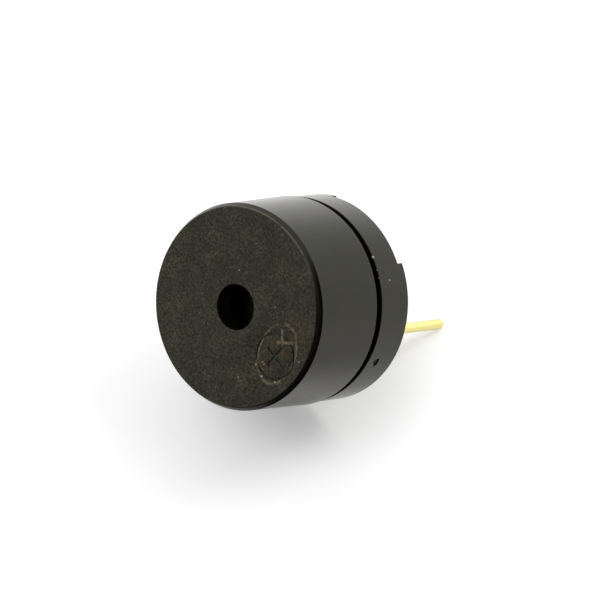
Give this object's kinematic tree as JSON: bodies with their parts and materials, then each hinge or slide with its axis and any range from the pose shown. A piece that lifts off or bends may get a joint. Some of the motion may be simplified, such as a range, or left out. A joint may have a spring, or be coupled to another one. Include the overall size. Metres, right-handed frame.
{
  "type": "electronic buzzer",
  "caption": "Round through-hole magnetic sounder: a moulded cap with a central sound hole on a footed base, with a coil, ring magnet and steel diaphragm inside and gold pins below.",
  "frame": {"origin": "centre of the seating plane under the two feet, midway between the pins", "axes": "+Z out of the sound hole, the pins down -Z, the positive pin on +X"},
  "size_m": [0.012, 0.012, 0.0165],
  "materials": {
    "housing": "fine spark-eroded texture",
    "adhesive": "cured glue",
    "ring_brass": "turned",
    "spring_steel": "rolled",
    "plated_iron": "zinc plated",
    "ferrite": "ground ferrite",
    "bobbin_plastic": "moulded",
    "enamelled_copper": "enamel",
    "tape": "polyester tape",
    "board": "pressed laminate",
    "gold": "gold plated",
    "bare_copper": "etched foil",
    "solder": "reflowed tin",
    "resin": "poured epoxy"
  },
  "bodies": {
    "root": {"cap": "housing", "base": "housing", "cap_adhesive": "adhesive", "support_ring": "ring_brass", "diaphragm": "spring_steel", "armature_disc": "plated_iron", "ring_magnet": "ferrite", "yoke_plate": "plated_iron", "pole_core": "plated_iron", "coil_bobbin": "bobbin_plastic", "coil_winding": "enamelled_copper", "coil_wrap": "tape", "circuit_board": "board", "pin_positive": "gold", "pin_negative": "gold", "pad_positive": "bare_copper", "pad_negative": "bare_copper", "coil_wire_positive": "enamelled_copper", "coil_wire_negative": "enamelled_copper", "solder_positive": "solder", "solder_negative": "solder", "resin_seal": "resin"}
  },
  "joints": []
}
